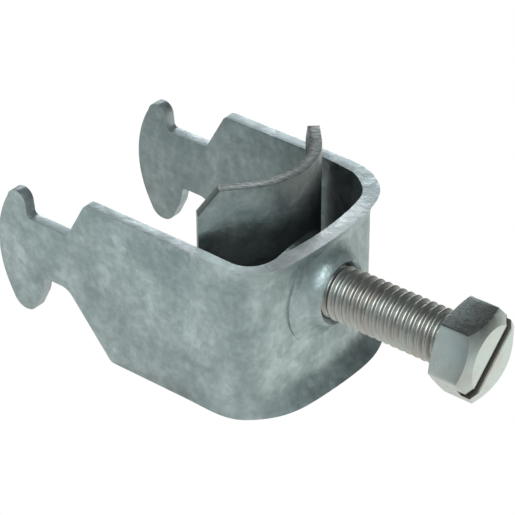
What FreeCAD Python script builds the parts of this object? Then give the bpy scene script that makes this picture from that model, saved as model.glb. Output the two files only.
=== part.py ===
"""Rail clamp for a round cable: a bent strip bow with hammer feet, a hex screw through its
yoke and an arched pressure trough on the screw's tip.

Millimetres. +X runs along the screw from the rail to the screw head, +Y across the bow and
+Z up along the cable. X = 0 is the plane where the bow's shoulders meet the rail's lips.
"""
import FreeCAD
import Part
import math
import os

V = FreeCAD.Vector

# strip
STRIP_W = 25.0            # width of the strip, along the cable
STRIP_T = 1.75            # galvanised sheet
BOW_W = 32.5              # across the outsides of both legs
LEG_Y = BOW_W / 2
EDGE = 0.22               # worn stamping edge on the feet and legs

# bow plan
CORNER_R = 7.5            # outside radius of each bend
YOKE_R = 55.0             # the yoke bows out a little
YOKE_X = 28.3             # crown of the yoke's lips
LIP_OUT = 1.9             # how far the yoke's two edges are flared out past its web
LIP_R = 5.3               # radius of that flare
LOFT_FROM = 11.0          # the legs are flat plate up to here

# hammer foot, seen square on to the leg
HEAD_X = -20.9            # crown of the head
HEAD_HALF = 8.5           # from the middle to where each tip begins
HEAD_SIDE_X = -18.6
TIP_LOW = (-16.4, -10.15)
TIP_HIGH = (-17.0, 9.85)
HOOK_HIGH = (-15.2, 8.5)  # where the upper tip's round ends, inside the hook
HOOK_LOW = (-14.4, -9.2)
HOOK_LOW_IN = (-12.8, -6.0)
NECK_LOW_Z = -3.1
NECK_HIGH_Z = 6.0
NECK_HIGH_FROM = -14.9
NECK_HIGH_TO = -7.4
NECK_LOW_FROM = -12.2
NECK_LOW_TO = -7.8
NECK_LOW_R = 2.6
HOOK_LOW_R = 3.0
SHOULDER_HIGH_X = -3.8
SHOULDER_R = 1.0
NOTCH_R = 0.7

# screw
THREAD_R = 4.0            # M8
PITCH = 1.25
SCREW_Z = 3.0             # the tapped hole sits a little above the strip's middle
RUNNING = 0.05            # radial clearance in the tapped hole and at the rivet
HEAD_UNDER_X = 47.7
HEAD_K = 5.9
HEAD_AF = 12.0
HEAD_FLAT_R = 4.8         # flat left in the middle of the turned top
SLOT_W = 1.6
SLOT_D = 2.0
SLOT_ANGLE = 41.0         # how the head was left turned
HEX_ANGLE = 7.8

# collar of the tapped hole, drawn out of the yoke
COLLAR_TIP_X = 28.7
COLLAR_TIP_R = 5.2
COLLAR_BASE_R = 8.4
COLLAR_MOUTH = 0.7

# pressure trough
TROUGH_IN_R = 10.6        # hollow side, toward the cable
TROUGH_T = 1.7
TROUGH_X = 20.2           # crown of the hollow side
TROUGH_HALF_ANGLE = 42.0  # of the round part; flat wings run on from it
TROUGH_HALF_Y = 12.1      # to the wings' inner ends
TROUGH_L = 34.0
CLIP_Z = 3.7              # clipped corners
CLIP_Y = 2.2
BOSS_X = 23.3             # boss pressed toward the screw, so the rivet clears the cable
BOSS_R = 5.8
BOSS_BASE_R = 7.6
RECESS_R = 5.0
FLOOR_X = BOSS_X - TROUGH_T
AXIAL_PLAY = 0.1
RIVET_PIN_R = 2.5
RIVET_HEAD_R = 3.9
RIVET_HEAD_H = 1.3


def save(shape, name):
    shape.exportStep("parts/%s.step" % name)


def face_of(edges):
    return Part.Face(Part.Wire(edges))


def line(a, b):
    return Part.LineSegment(a, b).toShape()


def arc(a, m, b):
    return Part.Arc(a, m, b).toShape()


def at_xz(x, z):
    return V(x, 0.0, z)


def rounded(corners):
    """Closed outline in the X-Z plane; each corner is (x, z, radius)."""
    edges = []
    count = len(corners)
    starts = []
    for i in range(count):
        x, z, r = corners[i]
        here = at_xz(x, z)
        before = at_xz(*corners[i - 1][:2])
        after = at_xz(*corners[(i + 1) % count][:2])
        u = (before - here).normalize()
        w = (after - here).normalize()
        if r <= 0:
            starts.append((here, None, here))
            continue
        half = u.getAngle(w) / 2
        reach = r / math.tan(half)
        middle = (u + w).normalize()
        deep = r / math.sin(half) - r
        starts.append((here + u * reach, here + middle * deep, here + w * reach))
    for i in range(count):
        a, m, b = starts[i]
        if m is not None:
            edges.append(arc(a, m, b))
        nxt = starts[(i + 1) % count][0]
        if (nxt - b).Length > 1e-6:
            edges.append(line(b, nxt))
    return edges


def turned(profile):
    """Solid of revolution about the screw's axis; each point is (x, radius)."""
    pts = [V(x, r, 0) for x, r in profile]
    edges = [line(pts[i], pts[(i + 1) % len(pts)]) for i in range(len(pts))]
    solid = face_of(edges).revolve(V(0, 0, 0), V(1, 0, 0), 360)
    return solid.translate(V(0, 0, SCREW_Z))


def foot_outline():
    """Head, neck and shoulders of one leg, closed at the start of the loft."""
    half_w = STRIP_W / 2
    lower = rounded([
        (LOFT_FROM, half_w, 0),
        (SHOULDER_HIGH_X, half_w, SHOULDER_R),
        (NECK_HIGH_TO, NECK_HIGH_Z, NOTCH_R),
        (NECK_HIGH_FROM, NECK_HIGH_Z, NOTCH_R),
        (*HOOK_HIGH, 0),
        (HEAD_SIDE_X, HEAD_HALF, 0),
        (HEAD_SIDE_X, -HEAD_HALF, 0),
        (*HOOK_LOW, 0),
        (*HOOK_LOW_IN, HOOK_LOW_R),
        (NECK_LOW_FROM, NECK_LOW_Z, NOTCH_R),
        (NECK_LOW_TO, NECK_LOW_Z, NECK_LOW_R),
        (0.0, -half_w, SHOULDER_R),
        (LOFT_FROM, -half_w, 0),
    ])
    crown = at_xz(HEAD_X, 0)
    high = at_xz(HEAD_SIDE_X, HEAD_HALF)
    low = at_xz(HEAD_SIDE_X, -HEAD_HALF)
    rounds = (
        (at_xz(*HOOK_HIGH), at_xz(*TIP_HIGH), high),
        (high, crown, low),
        (low, at_xz(*TIP_LOW), at_xz(*HOOK_LOW)),
    )
    edges = []
    for edge in lower:
        for start, middle, end in rounds:
            if (edge.Vertexes[0].Point - start).Length < 1e-6:
                edge = arc(start, middle, end)
        edges.append(edge)
    return edges


def leg(side):
    """Flat plate of one leg with its hammer foot, side +1 or -1."""
    face = face_of(foot_outline())
    plate = face.extrude(V(0, STRIP_T, 0))
    edges = []
    for edge in plate.Edges:
        box = edge.BoundBox
        if box.YLength < 1e-6 and box.XMin < LOFT_FROM - 0.01:
            edges.append(edge)
    try:
        soft = plate.makeChamfer(EDGE, edges)
        if soft.isValid() and soft.Volume > 0.9 * plate.Volume:
            plate = soft
    except Exception:
        pass
    y = -LEG_Y if side < 0 else LEG_Y - STRIP_T
    return plate.translate(V(0, y, 0))


def section(point, normal, flare, top_out=0.0, low_out=0.0):
    """Poles round the strip at a point of the lips' path; flare 1 is the full lip.

    top_out and low_out push the upper and lower lip out by hand-bending's small unevenness.
    """
    half_w = STRIP_W / 2
    depth = LIP_OUT * flare
    edge_t = STRIP_T * (1 + 0.4 * flare)
    reach = math.sqrt(LIP_R ** 2 - (LIP_R - LIP_OUT) ** 2)
    half_out = half_w - reach
    bow_out = 0.3 * depth
    in_depth = max(edge_t, 1e-6)
    up = V(0, 0, 1)

    def p(out, z):
        return point + normal * out + V(0, 0, z)

    mid_z = half_w - reach / 2
    web_out = -depth
    web_in = -depth - STRIP_T
    tip_in = -in_depth

    def side(z_sign):
        more = top_out if z_sign > 0 else low_out
        z0 = z_sign * half_out
        zm = z_sign * mid_z
        z1 = z_sign * half_w
        outer = (p(web_out, z0), p(web_out + bow_out + 0.3 * more, zm), p(more, z1))
        inner_mid = web_in + 0.27 * (tip_in - web_in) + 0.3 * more
        inner = (p(web_in, z0), p(inner_mid, zm), p(tip_in + more, z1))
        return outer, inner

    def handles(points, start, end):
        """The two inner poles of a curve from the first point to the last, by the middle one."""
        first, middle, last = points
        third = (last - first).Length / 3
        a = first + start.normalize() * third
        b = last - end.normalize() * third
        miss = middle - (first + a * 3 + b * 3 + last) * 0.125
        return [a, b + (miss - up * miss.dot(up)) * (2 / 3)]

    upper, upper_in = side(1)
    lower, lower_in = side(-1)
    lean = up + normal * (0.75 * flare + 0.4 * top_out)
    lean_low = up * -1 + normal * (0.75 * flare + 0.4 * low_out)
    return (
        [lower[0], upper[0]]
        + handles(upper, up, lean)
        + [upper[2], upper_in[2]]
        + handles(list(reversed(upper_in)), lean * -1, up * -1)
        + [upper_in[0], lower_in[0]]
        + handles(lower_in, up * -1, lean_low)
        + [lower_in[2], lower[2]]
        + handles(list(reversed(lower)), lean_low * -1, up)
    )


def lip_path():
    """Stations round the yoke: point, outward normal, flare, extra at the top, extra below."""
    centre_y = LEG_Y - CORNER_R
    yoke_c = YOKE_X - YOKE_R
    swing = math.asin(centre_y / (YOKE_R - CORNER_R))
    corner_x = yoke_c + (YOKE_R - CORNER_R) * math.cos(swing)
    stations = []

    def on_leg(side, share, flare, top_out, low_out):
        n = V(0, side, 0)
        x = LOFT_FROM + share * (corner_x - LOFT_FROM)
        stations.append((V(x, side * LEG_Y, 0), n, flare, top_out, low_out))

    def on_bend(side, angle, flare, top_out, low_out):
        a = math.radians(angle)
        n = V(math.cos(a), math.sin(a), 0)
        point = V(corner_x, side * centre_y, 0) + n * CORNER_R
        stations.append((point, n, flare, top_out, low_out))

    def on_yoke(share, flare, top_out, low_out):
        a = swing * share
        n = V(math.cos(a), math.sin(a), 0)
        stations.append((V(yoke_c, 0, 0) + n * YOKE_R, n, flare, top_out, low_out))

    on_leg(-1, 0.0, 0.0, 0.0, 0.0)
    on_leg(-1, 0.5, 0.0, 0.0, 0.0)
    on_bend(-1, -90, 0.0, 0.1, 0.0)
    on_bend(-1, -70, 0.08, 0.4, -0.2)
    on_bend(-1, -50, 0.33, 0.57, -0.47)
    on_bend(-1, -30, 0.72, 0.4, -0.4)
    on_yoke(-1.0, 0.97, 0.15, 0.0)
    on_yoke(-0.4, 1.0, 0.0, 0.45)
    on_yoke(0.3, 1.0, -0.02, 0.77)
    on_yoke(1.0, 1.0, -0.28, 0.7)
    on_bend(1, 30, 1.0, -0.55, 0.45)
    on_bend(1, 50, 0.98, -0.7, 0.2)
    on_bend(1, 70, 0.88, -0.58, 0.08)
    on_bend(1, 90, 0.68, -0.25, 0.0)
    on_leg(1, 0.67, 0.35, -0.04, 0.0)
    on_leg(1, 0.33, 0.08, 0.0, 0.0)
    on_leg(1, 0.0, 0.0, 0.0, 0.0)
    return stations


def collar():
    """Collar of the tapped hole, blended into the yoke's web."""
    web = YOKE_X - LIP_OUT
    inner = web - STRIP_T
    mouth_r = THREAD_R + RUNNING + COLLAR_MOUTH
    pts = [V(inner + 0.5, 0, 0), V(inner + 0.5, COLLAR_BASE_R, 0), V(web - 0.35, COLLAR_BASE_R, 0)]
    low = V(web + 0.02, COLLAR_TIP_R + 1.95, 0)
    high = V(web + 0.72, COLLAR_TIP_R + 0.65, 0)
    edges = [
        line(pts[0], pts[1]),
        line(pts[1], pts[2]),
        line(pts[2], low),
        line(low, high),
        line(high, V(COLLAR_TIP_X - 0.5, COLLAR_TIP_R, 0)),
        line(V(COLLAR_TIP_X - 0.5, COLLAR_TIP_R, 0), V(COLLAR_TIP_X, mouth_r, 0)),
        line(V(COLLAR_TIP_X, mouth_r, 0), V(COLLAR_TIP_X, 0, 0)),
        line(V(COLLAR_TIP_X, 0, 0), pts[0]),
    ]
    solid = face_of(edges).revolve(V(0, 0, 0), V(1, 0, 0), 360)
    return solid.translate(V(0, 0, SCREW_Z))


def tapped_hole():
    """Core of the hole with a countersunk mouth."""
    r = THREAD_R + RUNNING
    mouth = r + COLLAR_MOUTH
    far = COLLAR_TIP_X + 1
    edges = [
        line(V(10, 0, 0), V(10, r, 0)),
        line(V(10, r, 0), V(COLLAR_TIP_X - COLLAR_MOUTH, r, 0)),
        line(V(COLLAR_TIP_X - COLLAR_MOUTH, r, 0), V(COLLAR_TIP_X, mouth, 0)),
        line(V(COLLAR_TIP_X, mouth, 0), V(far, mouth, 0)),
        line(V(far, mouth, 0), V(far, 0, 0)),
        line(V(far, 0, 0), V(10, 0, 0)),
    ]
    solid = face_of(edges).revolve(V(0, 0, 0), V(1, 0, 0), 360)
    return solid.translate(V(0, 0, SCREW_Z))


def flared_yoke():
    """Both bends and the yoke: smooth rails through every section, skinned band by band."""
    # the strip's eight faces, each by the rails that it lies between
    webs = ((0, 1), (8, 9))
    rims = ((4, 5), (12, 13))
    lips = ((1, 2, 3, 4), (5, 6, 7, 8), (9, 10, 11, 12), (13, 14, 15, 0))

    sections = [section(*station) for station in lip_path()]
    params = [0.0]
    for before, after in zip(sections, sections[1:]):
        params.append(params[-1] + (after[4] - before[4]).Length)
    rails = []
    for k in range(len(sections[0])):
        rail = Part.BSplineCurve()
        rail.interpolate(Points=[s[k] for s in sections], Parameters=params,
                         InitialTangent=V(1, 0, 0), FinalTangent=V(-1, 0, 0))
        rails.append(rail)
    knots = rails[0].getKnots()
    mults = rails[0].getMultiplicities()
    faces = []
    for band in webs + rims + lips:
        degree = len(band) - 1
        skin = Part.BSplineSurface()
        skin.buildFromPolesMultsKnots(
            [rails[k].getPoles() for k in band], [degree + 1, degree + 1], mults,
            [0.0, 1.0], knots, False, False, degree, 3)
        if band not in webs:
            faces.append(skin.toShape())
            continue
        for start, end in zip(knots, knots[1:]):
            wall = skin.copy()
            wall.segment(0.0, 1.0, start, end)
            faces.append(wall.toShape())
    for side_y in (-1, 1):
        rim = []
        for edge in [e for f in faces for e in f.Edges]:
            box = edge.BoundBox
            if box.XMax < LOFT_FROM + 1e-4 and box.YMin * side_y > 0:
                rim.append(edge)
        faces.append(Part.Face(Part.Wire(Part.__sortEdges__(rim))))
    shell = Part.Shell(faces)
    shell.sewShape()
    solid = Part.Solid(shell)
    if solid.Volume < 0:
        solid.reverse()
    return solid


def clamp_bow():
    yoke = flared_yoke()
    bow = yoke.fuse([leg(-1), leg(1), collar()])
    bow = bow.cut(tapped_hole())
    bow = bow.removeSplitter()
    return bow.Solids[0] if len(bow.Solids) == 1 else bow


def hexagon(radius, turn):
    points = []
    for i in range(6):
        a = math.radians(turn + 60 * i)
        points.append(V(0, radius * math.cos(a), radius * math.sin(a)))
    points.append(points[0])
    return Part.Face(Part.makePolygon(points))


def clamp_screw():
    # shank with its riveted tip
    shoulder = BOSS_X + AXIAL_PLAY
    rivet = FLOOR_X - AXIAL_PLAY
    pts = [
        V(shoulder, 0, 0),
        V(shoulder, THREAD_R - 0.8, 0),
        V(shoulder + 0.8, THREAD_R, 0),
        V(HEAD_UNDER_X, THREAD_R, 0),
        V(HEAD_UNDER_X, 0, 0),
    ]
    edges = [line(pts[i], pts[(i + 1) % 5]) for i in range(5)]
    shank = face_of(edges).revolve(V(0, 0, 0), V(1, 0, 0), 360)
    pin = Part.makeCylinder(RIVET_PIN_R, shoulder - rivet + 1.0, V(rivet - 0.5, 0, 0), V(1, 0, 0))
    dome_edges = [
        line(V(rivet, 0, 0), V(rivet, RIVET_HEAD_R, 0)),
        line(V(rivet, RIVET_HEAD_R, 0), V(rivet - RIVET_HEAD_H * 0.55, RIVET_HEAD_R * 0.86, 0)),
        line(V(rivet - RIVET_HEAD_H * 0.55, RIVET_HEAD_R * 0.86, 0),
             V(rivet - RIVET_HEAD_H, RIVET_HEAD_R * 0.5, 0)),
        line(V(rivet - RIVET_HEAD_H, RIVET_HEAD_R * 0.5, 0), V(rivet - RIVET_HEAD_H, 0, 0)),
        line(V(rivet - RIVET_HEAD_H, 0, 0), V(rivet, 0, 0)),
    ]
    dome = face_of(dome_edges).revolve(V(0, 0, 0), V(1, 0, 0), 360)

    # hex head, washer-faced under and turned to a chamfer on top
    top = HEAD_UNDER_X + HEAD_K
    head = hexagon(HEAD_AF / math.sqrt(3), HEX_ANGLE).extrude(V(HEAD_K, 0, 0))
    head = head.translate(V(HEAD_UNDER_X, 0, 0))
    flat_r = HEAD_FLAT_R
    slope = math.tan(math.radians(30))
    big = HEAD_AF / 2 + 2.0
    cap = [
        V(HEAD_UNDER_X, 0, 0),
        V(HEAD_UNDER_X, HEAD_AF / 2 + 0.1, 0),
        V(HEAD_UNDER_X + (big - HEAD_AF / 2) * slope * 0.5, big, 0),
        V(top - (big - flat_r) * slope, big, 0),
        V(top, flat_r, 0),
        V(top, 0, 0),
    ]
    cap_edges = [line(cap[i], cap[(i + 1) % 6]) for i in range(6)]
    head = head.common(face_of(cap_edges).revolve(V(0, 0, 0), V(1, 0, 0), 360))
    slot = Part.makeBox(SLOT_D + 1, 2 * big, SLOT_W, V(top - SLOT_D, -big, -SLOT_W / 2))
    slot.rotate(V(0, 0, 0), V(1, 0, 0), SLOT_ANGLE)
    head = head.cut(slot)

    screw = shank.fuse([pin, dome, head]).removeSplitter()
    screw.translate(V(0, 0, SCREW_Z))
    return screw.Solids[0]


def pressure_trough():
    out_r = TROUGH_IN_R + TROUGH_T
    cx = TROUGH_X - TROUGH_IN_R
    a = math.radians(TROUGH_HALF_ANGLE)
    wing = (TROUGH_HALF_Y - TROUGH_IN_R * math.sin(a)) / math.cos(a)

    def on(r, angle):
        return V(cx + r * math.cos(angle), r * math.sin(angle), 0)

    def wing_end(r, side):
        along = V(-math.sin(a), side * math.cos(a), 0)
        return on(r, side * a) + along * wing

    edges = [
        line(wing_end(TROUGH_IN_R, -1), on(TROUGH_IN_R, -a)),
        arc(on(TROUGH_IN_R, -a), on(TROUGH_IN_R, 0), on(TROUGH_IN_R, a)),
        line(on(TROUGH_IN_R, a), wing_end(TROUGH_IN_R, 1)),
        line(wing_end(TROUGH_IN_R, 1), wing_end(out_r, 1)),
        line(wing_end(out_r, 1), on(out_r, a)),
        arc(on(out_r, a), on(out_r, 0), on(out_r, -a)),
        line(on(out_r, -a), wing_end(out_r, -1)),
        line(wing_end(out_r, -1), wing_end(TROUGH_IN_R, -1)),
    ]
    body = face_of(edges).extrude(V(0, 0, TROUGH_L))
    body.translate(V(0, 0, SCREW_Z - TROUGH_L / 2))

    # clipped corners, cut square through each wing
    half_l = TROUGH_L / 2
    for side in (-1, 1):
        across = V(math.cos(a), side * math.sin(a), 0)
        along = V(-math.sin(a), side * math.cos(a), 0)
        end = wing_end(TROUGH_IN_R, side) - across * 2
        back = along * (-CLIP_Y / math.cos(a))
        for z_side in (-1, 1):
            top = V(0, 0, SCREW_Z + z_side * half_l)
            low = V(0, 0, SCREW_Z + z_side * (half_l - CLIP_Z))
            over = V(0, 0, z_side * 2.0)
            poly = Part.makePolygon([
                end + back + top, end + low, end + low + along * 2,
                end + along * 2 + top + over, end + back + top + over, end + back + top])
            body = body.cut(Part.Face(poly).extrude(across * 6))

    # boss pressed toward the screw, hollow on the cable's side
    low_x = TROUGH_X - 1.0
    boss = turned([
        (low_x, 0), (low_x, BOSS_BASE_R), (BOSS_X - 0.9, BOSS_R + 0.5),
        (BOSS_X - 0.25, BOSS_R + 0.1), (BOSS_X, BOSS_R - 0.4), (BOSS_X, 0)])
    body = body.fuse(boss)
    bore = Part.makeCylinder(TROUGH_IN_R, TROUGH_L, V(cx, 0, SCREW_Z - TROUGH_L / 2))
    body = body.cut(bore)
    body = body.cut(turned([
        (cx, 0), (cx, RECESS_R + 1.2), (TROUGH_X - 1.2, RECESS_R + 1.2),
        (FLOOR_X - 0.6, RECESS_R + 0.1), (FLOOR_X, RECESS_R - 0.3), (FLOOR_X, 0)]))
    hole_r = RIVET_PIN_R + RUNNING
    body = body.cut(turned([(cx, 0), (cx, hole_r), (BOSS_X + 1, hole_r), (BOSS_X + 1, 0)]))
    return body.removeSplitter().Solids[0]


os.makedirs("parts", exist_ok=True)
save(clamp_bow(), "clamp_bow")
save(clamp_screw(), "clamp_screw")
save(pressure_trough(), "pressure_trough")
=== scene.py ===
"""Looks of the rail cable clamp: galvanised bow and trough, zinc-plated screw with a real thread."""
import math

import bmesh
import bpy
import numpy as np
from mathutils import Matrix, Vector


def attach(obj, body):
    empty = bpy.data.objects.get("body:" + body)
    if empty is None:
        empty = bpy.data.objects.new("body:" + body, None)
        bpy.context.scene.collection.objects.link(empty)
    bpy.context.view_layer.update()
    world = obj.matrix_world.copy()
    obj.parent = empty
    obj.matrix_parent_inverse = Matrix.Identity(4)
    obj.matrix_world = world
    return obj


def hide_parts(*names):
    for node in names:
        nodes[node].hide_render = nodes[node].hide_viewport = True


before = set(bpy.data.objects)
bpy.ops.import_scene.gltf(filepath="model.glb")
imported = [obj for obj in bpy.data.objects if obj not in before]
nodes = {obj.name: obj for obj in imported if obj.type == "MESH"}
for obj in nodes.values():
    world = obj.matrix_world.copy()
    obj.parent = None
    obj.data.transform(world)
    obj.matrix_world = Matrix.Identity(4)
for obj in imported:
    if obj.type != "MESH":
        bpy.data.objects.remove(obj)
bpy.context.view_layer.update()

MM = 0.001

# screw, in millimetres, on the axis y = 0, z = SCREW_Z
SCREW_Z = 3.0
THREAD_R = 3.97
ROOT_R = 3.33
PITCH = 1.25
THREAD_FROM = 23.4
THREAD_TO = 47.72
TIP_CONE_R = 3.25         # the thread starts as a cone of this radius, rising 1 in 1
CREST_WEAR = 0.014
AROUND = 88               # points round one turn of the thread
HEAD_FROM = 47.6          # the head is all that lies past here
TIP_TO = 23.45            # and the tip what lies before here
SLOT_LEAN = math.radians(41)

# places on the strip and the trough, in metres as the materials read them
LEG_END = 0.011           # the legs are flat plate up to this x
LIP_Z = 0.0119            # the yoke's lips lie past this height
BAY_X = 0.015             # middle of the bow
HOLLOW_X = 0.0096         # axis of the trough's hollow
WING_Y = 0.0076           # the flat wings begin here
WING_LEAN = math.radians(42)


# ---------------------------------------------------------------- meshes

def new_mesh(name, verts, faces):
    """One smooth mesh object at the origin, from arrays of millimetre points and corner indices."""
    mesh = bpy.data.meshes.new(name)
    mesh.from_pydata((verts * MM).tolist(), [], faces.tolist())
    mesh.validate()
    mesh.update()
    obj = bpy.data.objects.new(name, mesh)
    bpy.context.scene.collection.objects.link(obj)
    mesh.polygons.foreach_set("use_smooth", [True] * len(mesh.polygons))
    return obj


def thread_rod():
    """Right-hand thread on a grid of rows and angles.

    The point at row (turn, share, height) and angle a has x = start + (turn - 1.5 + share
    + a / 2 pi) * pitch and radius root + (crest - root) * height, so every ridge is one unbroken
    row of points. Rows past either end are pressed flat on to it and capped.
    """
    # share of one pitch, and height from root (0) to crest (1)
    profile = np.array([(0.00, 0.0), (0.10, 0.04), (0.20, 0.0), (0.30, 0.22), (0.50, 0.93),
                        (0.56, 1.0), (0.64, 1.0), (0.70, 0.93), (0.90, 0.22)])
    per = len(profile)
    turns = int((THREAD_TO - THREAD_FROM) / PITCH) + 3
    rows = np.arange(turns * per)
    share, height = profile[rows % per].T[:, :, None]
    angles = (np.arange(AROUND) * 2 * math.pi / AROUND)[None, :]
    x = THREAD_FROM + ((rows // per)[:, None] - 1.5 + share + angles / (2 * math.pi)) * PITCH
    ends = np.clip(x, THREAD_FROM, THREAD_TO)
    r = np.minimum(ROOT_R + (THREAD_R - ROOT_R) * height, TIP_CONE_R + ends - THREAD_FROM)
    # faint wear and dents on the crests
    crest = np.clip((r - ROOT_R) / (THREAD_R - ROOT_R), 0, 1) ** 3
    wobble = np.sin(7.1 * angles + 2.3 * x) * np.sin(3.7 * x + 5 * angles)
    r = r - crest * CREST_WEAR * (1 + wobble)
    verts = np.stack([ends, r * np.cos(angles), r * np.sin(angles) + SCREW_Z], -1).reshape(-1, 3)

    # four corners between neighbouring rows; each row closes on itself one pitch further on
    first = (rows[:-1, None] * AROUND + np.arange(AROUND - 1)).ravel()
    along = np.stack([first, first + 1, first + AROUND + 1, first + AROUND], -1)
    start = rows[:-per - 1] * AROUND
    end = start + AROUND - 1
    seam = np.stack([end, start + per * AROUND, start + (per + 1) * AROUND, end + AROUND], -1)
    faces = np.concatenate([along, seam])
    # faces pressed to a line are left out
    place = np.unique(np.round(verts, 5), axis=0, return_inverse=True)[1].ravel()
    corners = np.sort(place[faces], axis=1)
    faces = faces[(np.diff(corners, axis=1) != 0).sum(axis=1) >= 2]
    obj = new_mesh("screw_thread", verts, faces)
    close_up(obj)
    return obj


def close_up(obj):
    """Welds pressed-together points and fills what is open, with outward normals."""
    bm = bmesh.new()
    bm.from_mesh(obj.data)
    bmesh.ops.remove_doubles(bm, verts=bm.verts, dist=1e-7)
    bmesh.ops.dissolve_degenerate(bm, dist=1e-7, edges=bm.edges)
    bmesh.ops.holes_fill(bm, edges=[e for e in bm.edges if e.is_boundary], sides=0)
    bmesh.ops.recalc_face_normals(bm, faces=bm.faces)
    bm.to_mesh(obj.data)
    bm.free()
    obj.data.update()


def sharp_edges(bm, angle):
    return [e for e in bm.edges
            if len(e.link_faces) == 2 and e.calc_face_angle(0) > math.radians(angle)]


def wear_round(bm, edges, width, segments):
    bmesh.ops.bevel(bm, geom=edges, offset=width * MM, segments=segments, profile=0.5,
                    affect="EDGES", clamp_overlap=True)


def softened(name, node, bevel, angle, keep=None, rim=None):
    """The frame's own surface with its sharp edges worn round; keep(x) says which faces stay.

    rim(co) picks the edges, by both their ends in millimetres, that are worn twice as far.
    """
    mesh = nodes[node].data.copy()
    mesh.name = name
    bm = bmesh.new()
    bm.from_mesh(mesh)
    bmesh.ops.remove_doubles(bm, verts=bm.verts, dist=2e-6)
    if keep:
        gone = [f for f in bm.faces if not keep(f.calc_center_median().x / MM)]
        bmesh.ops.delete(bm, geom=gone, context="FACES")
        bmesh.ops.holes_fill(bm, edges=[e for e in bm.edges if e.is_boundary], sides=0)
    bmesh.ops.recalc_face_normals(bm, faces=bm.faces)
    bmesh.ops.dissolve_limit(bm, angle_limit=math.radians(0.4), verts=bm.verts, edges=bm.edges)
    if rim:
        wear_round(bm, [e for e in sharp_edges(bm, angle) if all(rim(v.co / MM) for v in e.verts)],
                   2 * bevel, 4)
    wear_round(bm, sharp_edges(bm, angle), bevel, 3)
    bmesh.ops.triangulate(bm, faces=[f for f in bm.faces if len(f.verts) > 4])
    for f in bm.faces:
        f.smooth = True
    bm.to_mesh(mesh)
    bm.free()
    obj = bpy.data.objects.new(name, mesh)
    bpy.context.scene.collection.objects.link(obj)
    return obj


# ---------------------------------------------------------------- shader helpers

def puts_out(group, *names):
    for name in names:
        group.interface.new_socket(name=name, in_out="OUTPUT", socket_type="NodeSocketFloat")


def mottle_group():
    """Cloudy zinc: soft clouds, small speckle, crystal patches and upright streaks, each 0 to 1."""
    g = bpy.data.node_groups.new("zinc_mottle", "ShaderNodeTree")
    scale = g.interface.new_socket(name="Scale", in_out="INPUT", socket_type="NodeSocketFloat")
    scale.default_value = 1.0
    puts_out(g, "Clouds", "Speckle", "Crystals", "Streaks")
    n = g.nodes
    gi = n.new("NodeGroupInput")
    go = n.new("NodeGroupOutput")
    co = n.new("ShaderNodeTexCoord")
    mul = n.new("ShaderNodeVectorMath")
    mul.operation = "SCALE"
    g.links.new(co.outputs["Object"], mul.inputs[0])
    g.links.new(gi.outputs["Scale"], mul.inputs["Scale"])

    def noise(scale, detail, rough, distortion):
        t = n.new("ShaderNodeTexNoise")
        t.inputs["Scale"].default_value = scale
        t.inputs["Detail"].default_value = detail
        t.inputs["Roughness"].default_value = rough
        t.inputs["Distortion"].default_value = distortion
        g.links.new(mul.outputs[0], t.inputs["Vector"])
        return t

    def stretch(out, lo, hi):
        m = n.new("ShaderNodeMapRange")
        m.inputs["From Min"].default_value = lo
        m.inputs["From Max"].default_value = hi
        g.links.new(out, m.inputs["Value"])
        return m.outputs["Result"]

    clouds = noise(150.0, 3.0, 0.55, 0.4)
    speckle = noise(900.0, 4.0, 0.6, 0.0)
    g.links.new(stretch(clouds.outputs["Fac"], 0.36, 0.66), go.inputs["Clouds"])
    g.links.new(stretch(speckle.outputs["Fac"], 0.34, 0.68), go.inputs["Speckle"])
    squeeze = n.new("ShaderNodeVectorMath")
    squeeze.operation = "MULTIPLY"
    squeeze.inputs[1].default_value = (1.0, 1.0, 0.10)
    g.links.new(mul.outputs[0], squeeze.inputs[0])
    drips = noise(420.0, 3.0, 0.6, 0.0)
    g.links.new(squeeze.outputs[0], drips.inputs["Vector"])
    g.links.new(stretch(drips.outputs["Fac"], 0.34, 0.66), go.inputs["Streaks"])
    warp = n.new("ShaderNodeVectorMath")
    warp.operation = "MULTIPLY_ADD"
    warp.inputs[1].default_value = (0.0022, 0.0022, 0.0022)
    g.links.new(clouds.outputs["Color"], warp.inputs[0])
    g.links.new(mul.outputs[0], warp.inputs[2])
    cells = n.new("ShaderNodeTexVoronoi")
    cells.feature = "F1"
    cells.inputs["Scale"].default_value = 620.0
    g.links.new(warp.outputs[0], cells.inputs["Vector"])
    grey = n.new("ShaderNodeRGBToBW")
    g.links.new(cells.outputs["Color"], grey.inputs[0])
    g.links.new(grey.outputs[0], go.inputs["Crystals"])
    return g


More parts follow.
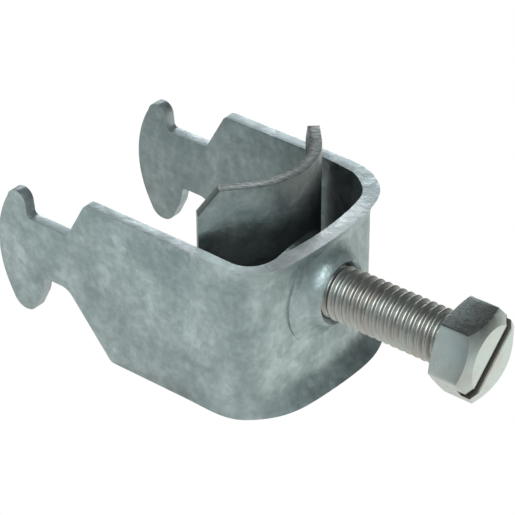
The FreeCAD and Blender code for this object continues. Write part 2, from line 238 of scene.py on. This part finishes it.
def mask_group():
    """Cut is 1 on sheared edges, Top on those that face up, Inside on faces toward the cable."""
    g = bpy.data.node_groups.new("cut_edges", "ShaderNodeTree")
    puts_out(g, "Cut", "Top", "Inside")
    n = g.nodes
    go = n.new("NodeGroupOutput")
    geo = n.new("ShaderNodeNewGeometry")
    to_obj = n.new("ShaderNodeVectorTransform")
    to_obj.vector_type = "NORMAL"
    to_obj.convert_from = "WORLD"
    to_obj.convert_to = "OBJECT"
    g.links.new(geo.outputs["True Normal"], to_obj.inputs[0])
    nrm = n.new("ShaderNodeSeparateXYZ")
    g.links.new(to_obj.outputs[0], nrm.inputs[0])
    co = n.new("ShaderNodeTexCoord")
    pos = n.new("ShaderNodeSeparateXYZ")
    g.links.new(co.outputs["Object"], pos.inputs[0])

    def m(op, a, b):
        node = n.new("ShaderNodeMath")
        node.operation = op
        node.use_clamp = True
        for i, v in enumerate((a, b)):
            if isinstance(v, float):
                node.inputs[i].default_value = v
            else:
                g.links.new(v, node.inputs[i])
        return node.outputs[0]

    on_leg = m("LESS_THAN", pos.outputs["X"], LEG_END)
    at_top = m("MAXIMUM", m("GREATER_THAN", pos.outputs["Z"], LIP_Z), on_leg)
    at_foot = m("MAXIMUM", m("LESS_THAN", pos.outputs["Z"], -LIP_Z), on_leg)
    up = m("MULTIPLY", m("GREATER_THAN", nrm.outputs["Z"], 0.7), at_top)
    down = m("MULTIPLY", m("LESS_THAN", nrm.outputs["Z"], -0.7), at_foot)
    flat = m("LESS_THAN", m("ABSOLUTE", nrm.outputs["Y"], 0.0), 0.35)
    side = m("MULTIPLY", flat, on_leg)
    g.links.new(m("MAXIMUM", m("MAXIMUM", up, down), side), go.inputs["Cut"])
    g.links.new(up, go.inputs["Top"])
    # a face is inside where it looks back to the middle of the bow
    reach = n.new("ShaderNodeVectorMath")
    reach.operation = "MULTIPLY_ADD"
    reach.inputs[1].default_value = (1.0, 1.0, 0.0)
    reach.inputs[2].default_value = (-BAY_X, 0.0, 0.0)
    g.links.new(co.outputs["Object"], reach.inputs[0])
    facing = n.new("ShaderNodeVectorMath")
    facing.operation = "DOT_PRODUCT"
    g.links.new(reach.outputs[0], facing.inputs[0])
    g.links.new(to_obj.outputs[0], facing.inputs[1])
    inside = n.new("ShaderNodeMapRange")
    for key, v in (("From Min", -0.006), ("From Max", -0.002), ("To Min", 1.0), ("To Max", 0.0)):
        inside.inputs[key].default_value = v
    g.links.new(facing.outputs["Value"], inside.inputs["Value"])
    g.links.new(inside.outputs[0], go.inputs["Inside"])
    return g


MOTTLE = mottle_group()
CUTS = mask_group()


class Sheet:
    """Small helper round one material's node tree."""

    def __init__(self, name):
        self.mat = bpy.data.materials.new(name)
        self.mat.use_nodes = True
        self.n = self.mat.node_tree.nodes
        self.link = self.mat.node_tree.links.new
        self.bsdf = self.n["Principled BSDF"]

    def group(self, tree, **values):
        node = self.n.new("ShaderNodeGroup")
        node.node_tree = tree
        for k, v in values.items():
            node.inputs[k].default_value = v
        return node

    def mix(self, fac, a, b, blend="MIX"):
        node = self.n.new("ShaderNodeMix")
        node.data_type = "RGBA"
        node.blend_type = blend
        if isinstance(fac, float):
            node.inputs["Factor"].default_value = fac
        else:
            self.link(fac, node.inputs["Factor"])
        for key, v in ((6, a), (7, b)):
            if isinstance(v, tuple):
                node.inputs[key].default_value = (*v, 1.0)
            else:
                self.link(v, node.inputs[key])
        return node.outputs[2]

    def math(self, op, a, b=0.0):
        node = self.n.new("ShaderNodeMath")
        node.operation = op
        for i, v in enumerate((a, b)):
            if isinstance(v, float):
                node.inputs[i].default_value = v
            else:
                self.link(v, node.inputs[i])
        return node.outputs[0]

    def span(self, value, lo, hi, to_lo, to_hi):
        node = self.n.new("ShaderNodeMapRange")
        for key, v in (("From Min", lo), ("From Max", hi), ("To Min", to_lo), ("To Max", to_hi)):
            node.inputs[key].default_value = v
        self.link(value, node.inputs["Value"])
        return node.outputs["Result"]

    def pos(self):
        """Object coordinates x, y, z in metres."""
        co = self.n.new("ShaderNodeTexCoord")
        xyz = self.n.new("ShaderNodeSeparateXYZ")
        self.link(co.outputs["Object"], xyz.inputs[0])
        return xyz.outputs["X"], xyz.outputs["Y"], xyz.outputs["Z"]

    def both(self, *masks):
        out = masks[0]
        for m in masks[1:]:
            out = self.math("MULTIPLY", out, m)
        return out

    def grey(self, value):
        node = self.n.new("ShaderNodeCombineColor")
        for i in range(3):
            self.link(value, node.inputs[i])
        return node.outputs[0]

    def bump(self, height, strength, distance):
        node = self.n.new("ShaderNodeBump")
        node.inputs["Strength"].default_value = strength
        node.inputs["Distance"].default_value = distance
        self.link(height, node.inputs["Height"])
        self.link(node.outputs[0], self.bsdf.inputs["Normal"])


def galvanised(name, dark, mid, pale, edge, rough, wear_rust_and_painted_light):
    """Hot-dip zinc: cloudy grey with small crystals, sheared edges and one extra pass of marks:
    rubbed zinc, rust, painted highlight and painted shade.
    """
    s = Sheet(name)
    z = s.group(MOTTLE, Scale=1.0)
    cut = s.group(CUTS)
    base = s.mix(z.outputs["Clouds"], dark, pale)
    base = s.mix(s.span(z.outputs["Crystals"], 0.2, 0.8, 0.0, 0.55), base, mid)
    spots = s.span(z.outputs["Speckle"], 0.0, 1.0, 0.86, 1.12)
    base = s.mix(1.0, base, s.grey(spots), "MULTIPLY")
    base = s.mix(s.math("MULTIPLY", cut.outputs["Cut"], 0.55), base, edge)
    base = wear_rust_and_painted_light(s, z, cut, base)
    s.link(base, s.bsdf.inputs["Base Color"])
    s.bsdf.inputs["Metallic"].default_value = 0.82
    s.link(s.span(z.outputs["Crystals"], 0.1, 0.9, *rough), s.bsdf.inputs["Roughness"])
    height = s.math("ADD", s.math("MULTIPLY", z.outputs["Clouds"], 0.7), z.outputs["Speckle"])
    s.bump(height, 0.35, 0.00008)
    return s.mat


def painted_lip_light_and_shade(s, z, cut, base):
    """Lips of the yoke whitened on top, most at the front bend: painted highlight, partly rubbed
    bright zinc. Painted shade on faces inside the bow, darker towards the bottom, faint upright
    streaks.
    """
    x, y, up_z = s.pos()
    # painted highlight on the lips' top faces, partly rubbed bright zinc
    lips = s.both(cut.outputs["Top"], s.span(x, LEG_END, 0.018, 0.0, 1.0),
                  s.span(y, -0.006, 0.0115, 1.0, 0.0))
    base = s.mix(s.both(lips, s.span(z.outputs["Speckle"], 0.0, 1.0, 0.8, 1.0)), base,
                 (0.93, 0.97, 0.98))
    # painted shade on faces inside the bow, stronger toward the yoke
    inside_shade = s.both(cut.outputs["Inside"], s.span(x, 0.006, 0.017, 0.32, 0.62))
    shade = s.math("SUBTRACT", 1.0, inside_shade)
    low = s.span(up_z, -0.013, 0.002, 0.88, 1.0)
    streaks = s.span(z.outputs["Streaks"], 0.0, 1.0, 0.95, 1.05)
    return s.mix(1.0, base, s.grey(s.both(shade, low, streaks)), "MULTIPLY")


def painted_shade_and_rust(s, z, cut, base):
    """Painted shade that deepens down and toward the back, a painted shadow line along the hollow's
    top edge, rust at the top of the back edge.
    """
    x, y, up_z = s.pos()
    # painted shade: darker low down and toward the back
    deep = s.span(up_z, 0.006, 0.0185, 0.42, 1.0)
    side = s.span(y, -0.0095, -0.001, 1.0, 0.42)
    base = s.mix(1.0, base, s.grey(s.both(deep, side)), "MULTIPLY")
    # distance to the hollow's axis, on the round part and on the flat wings
    off = s.math("SUBTRACT", x, HOLLOW_X)
    wide = s.math("ABSOLUTE", y)
    wing = s.math("ADD", s.math("MULTIPLY", off, math.cos(WING_LEAN)),
                  s.math("MULTIPLY", wide, math.sin(WING_LEAN)))
    round_r = s.math("SQRT", s.math("ADD", s.math("MULTIPLY", off, off),
                                    s.math("MULTIPLY", y, y)))
    on_wing = s.math("GREATER_THAN", wide, WING_Y)
    dist = s.math("ADD", s.math("MULTIPLY", wing, on_wing),
                  s.math("MULTIPLY", round_r, s.math("SUBTRACT", 1.0, on_wing)))
    # painted shadow line along the top edge of the hollow
    line = s.both(cut.outputs["Top"], s.span(dist, 0.0109, 0.0112, 0.8, 0.0),
                  s.math("GREATER_THAN", up_z, 0.0195))
    base = s.mix(line, base, (0.045, 0.045, 0.042))
    rust = s.both(s.span(y, 0.0098, 0.0112, 0.0, 0.7), s.span(up_z, 0.0180, 0.0192, 0.0, 1.0))
    return s.mix(rust, base, (0.20, 0.165, 0.15))


def plated(name, tint, stain, rough_lo, rough_hi):
    """Zinc plate with warm staining, turning rings on the head's top and painted shade in its slot.
    """
    s = Sheet(name)
    z = s.group(MOTTLE, Scale=1.6)
    x, y, up_z = s.pos()
    base = s.mix(s.span(z.outputs["Clouds"], 0.3, 1.0, 0.0, 0.6), tint, stain)
    above = s.math("SUBTRACT", up_z, SCREW_Z * MM)
    # across the slot, from the middle of the head
    across = s.math("ADD", s.math("MULTIPLY", y, -math.sin(SLOT_LEAN)),
                    s.math("MULTIPLY", above, math.cos(SLOT_LEAN)))
    # painted shade in the slot, lighter near its mouth
    slot = s.both(s.math("GREATER_THAN", x, 0.05150),
                  s.span(s.math("ABSOLUTE", across), 0.00100, 0.00112, 1.0, 0.0),
                  s.span(x, 0.05345, 0.05365, 1.0, 0.35))
    base = s.mix(s.math("MULTIPLY", slot, 0.9), base, (0.060, 0.052, 0.040))
    s.link(base, s.bsdf.inputs["Base Color"])
    s.bsdf.inputs["Metallic"].default_value = 1.0
    rough = s.span(z.outputs["Speckle"], 0.0, 1.0, rough_lo, rough_hi)
    s.link(s.math("ADD", rough, s.math("MULTIPLY", slot, 0.25)), s.bsdf.inputs["Roughness"])
    # rings left by turning the head's top
    rad = s.math("SQRT", s.math("ADD", s.math("MULTIPLY", y, y),
                                s.math("MULTIPLY", above, above)))
    rings = s.math("MULTIPLY", s.math("SINE", s.math("MULTIPLY", rad, 15000.0)),
                   s.math("GREATER_THAN", x, 0.0522))
    height = s.math("ADD", z.outputs["Clouds"], s.math("MULTIPLY", rings, 0.12))
    s.bump(height, 0.06, 0.00003)
    return s.mat


def dress(obj, material):
    obj.data.materials.clear()
    obj.data.materials.append(material)


strip_mat = galvanised("strip_zinc", (0.25, 0.315, 0.315), (0.35, 0.425, 0.425),
                       (0.42, 0.495, 0.495), (0.60, 0.68, 0.70), (0.38, 0.56),
                       painted_lip_light_and_shade)
# the trough's zinc is a darker copy of the strip's, painted shade for its place deep in the bow
trough_mat = galvanised("trough_zinc", (0.17, 0.215, 0.215), (0.26, 0.31, 0.31),
                        (0.34, 0.395, 0.385), (0.30, 0.33, 0.32), (0.30, 0.42),
                        painted_shade_and_rust)
screw_mat = plated("screw_plate", (0.43, 0.49, 0.47), (0.42, 0.385, 0.34), 0.24, 0.34)

bow = softened("bow_strip", "clamp_bow", 0.28, 32, rim=lambda c: c.x > 11.5 and abs(c.z) > 12.4)
trough = softened("trough_plate", "pressure_trough", 0.22, 32)
for piece, node, body, slot, mat in ((bow, "clamp_bow", "bow", "strip", strip_mat),
                                     (trough, "pressure_trough", "trough", "trough", trough_mat)):
    dress(piece, mat)
    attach(piece, body)
    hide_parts(node)

# ---------------------------------------------------------------- screw

thread = thread_rod()
head = softened("screw_head", "clamp_screw", 0.20, 22, lambda x: x > HEAD_FROM)
tip = softened("screw_tip", "clamp_screw", 0.06, 30, lambda x: x < TIP_TO)
# the thread's plating is a darker, rougher copy of the head's; the darker tone is painted shade
thread_mat = plated("thread_plate", (0.41, 0.43, 0.405), (0.38, 0.335, 0.295), 0.38, 0.50)
for piece in (thread, head, tip):
    dress(piece, thread_mat if piece is thread else screw_mat)
    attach(piece, "screw")
    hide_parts("clamp_screw")

# ---------------------------------------------------------------- surroundings

def area(name, at, aim, size, power, colour):
    light = bpy.data.lights.new(name, "AREA")
    light.shape = "RECTANGLE"
    light.size = size[0] * MM
    light.size_y = size[1] * MM
    light.energy = power
    light.color = colour
    obj = bpy.data.objects.new(name, light)
    obj.location = Vector(at) * MM
    obj.rotation_mode = "QUATERNION"
    obj.rotation_quaternion = (Vector(aim) * MM - obj.location).to_track_quat("-Z", "Y")
    bpy.context.scene.collection.objects.link(obj)


world = bpy.data.worlds.new("studio")
bpy.context.scene.world = world
world.use_nodes = True
wn = world.node_tree.nodes
wl = world.node_tree.links.new
wn.clear()
out = wn.new("ShaderNodeOutputWorld")
seen = wn.new("ShaderNodeBackground")
seen.inputs["Color"].default_value = (1, 1, 1, 1)
seen.inputs["Strength"].default_value = 1.0
lit = wn.new("ShaderNodeBackground")
lit.inputs["Strength"].default_value = 1.0
path = wn.new("ShaderNodeLightPath")
mixer = wn.new("ShaderNodeMixShader")
coord = wn.new("ShaderNodeTexCoord")


def lobe(direction, sharpness, colour):
    """Soft patch of light in the room: colour times the cosine to the patch, raised to a power."""
    dot = wn.new("ShaderNodeVectorMath")
    dot.operation = "DOT_PRODUCT"
    dot.inputs[1].default_value = Vector(direction).normalized()
    wl(coord.outputs["Generated"], dot.inputs[0])
    front = wn.new("ShaderNodeMath")
    front.operation = "MAXIMUM"
    front.inputs[1].default_value = 0.0
    wl(dot.outputs["Value"], front.inputs[0])
    power = wn.new("ShaderNodeMath")
    power.operation = "POWER"
    power.inputs[1].default_value = sharpness
    wl(front.outputs[0], power.inputs[0])
    scale = wn.new("ShaderNodeVectorMath")
    scale.operation = "SCALE"
    scale.inputs[0].default_value = colour
    wl(power.outputs[0], scale.inputs["Scale"])
    return scale.outputs[0]


def add(a, b):
    node = wn.new("ShaderNodeVectorMath")
    for i, v in enumerate((a, b)):
        if isinstance(v, tuple):
            node.inputs[i].default_value = v
        else:
            wl(v, node.inputs[i])
    return node.outputs[0]


floor_glow = wn.new("ShaderNodeMapRange")
floor_glow.interpolation_type = "SMOOTHSTEP"
for key, v in (("From Min", -0.42), ("From Max", 0.16), ("To Min", 0.80), ("To Max", 0.0)):
    floor_glow.inputs[key].default_value = v
split = wn.new("ShaderNodeSeparateXYZ")
wl(coord.outputs["Generated"], split.inputs[0])
wl(split.outputs["Z"], floor_glow.inputs["Value"])
ground = wn.new("ShaderNodeVectorMath")
ground.operation = "SCALE"
ground.inputs[0].default_value = (1.0, 1.0, 0.97)
wl(floor_glow.outputs["Result"], ground.inputs["Scale"])
room = add((0.07, 0.08, 0.085), ground.outputs[0])
for patch in (
    ((-0.52, -0.65, -0.56), 4.0, (0.12, 0.12, 0.12)),      # floor in front, on the left
    ((-0.56, -0.82, 0.06), 14.0, (0.55, 0.60, 0.63)),      # wall in front, on the left
    ((0.52, 0.65, -0.56), 4.0, (0.45, 0.44, 0.40)),        # floor behind, on the right
    ((-0.55, 0.78, 0.25), 40.0, (4.8, 4.9, 5.0)),          # window behind, on the left
    ((0.95, -0.20, 0.20), 8.0, (0.35, 0.38, 0.40)),        # right
):
    room = add(room, lobe(*patch))
wl(room, lit.inputs["Color"])
wl(path.outputs["Is Camera Ray"], mixer.inputs["Fac"])
wl(lit.outputs[0], mixer.inputs[1])
wl(seen.outputs[0], mixer.inputs[2])
wl(mixer.outputs[0], out.inputs["Surface"])

area("key_front", (150, -165, 270), (25, 0, 0), (230, 200), 1.0, (0.95, 0.99, 1.0))

# ---------------------------------------------------------------- camera

AZ, EL, ROLL = (math.radians(a) for a in (38.662, 33.847, -0.249))
back = Vector((math.sin(AZ) * math.cos(EL), -math.cos(AZ) * math.cos(EL), math.sin(EL)))
right = Vector((math.cos(AZ), math.sin(AZ), 0))
up = back.cross(right)
right, up = (right * math.cos(ROLL) + up * math.sin(ROLL),
             up * math.cos(ROLL) - right * math.sin(ROLL))
AIM_RIGHT, AIM_UP, AWAY = 10.828, -2.549, 347.176     # millimetres from the frame's origin
eye = right * AIM_RIGHT + up * AIM_UP + back * AWAY
cam_data = bpy.data.cameras.new("camera")
cam_data.sensor_width = 36.0
cam_data.lens = 168.0326
cam_data.clip_start = 0.01
cam_data.clip_end = 10.0
cam = bpy.data.objects.new("camera", cam_data)
turn = Matrix((right, up, back)).transposed().to_4x4()
cam.matrix_world = Matrix.Translation(eye * MM) @ turn
bpy.context.scene.collection.objects.link(cam)
bpy.context.scene.camera = cam
bpy.context.scene.view_settings.view_transform = "Standard"
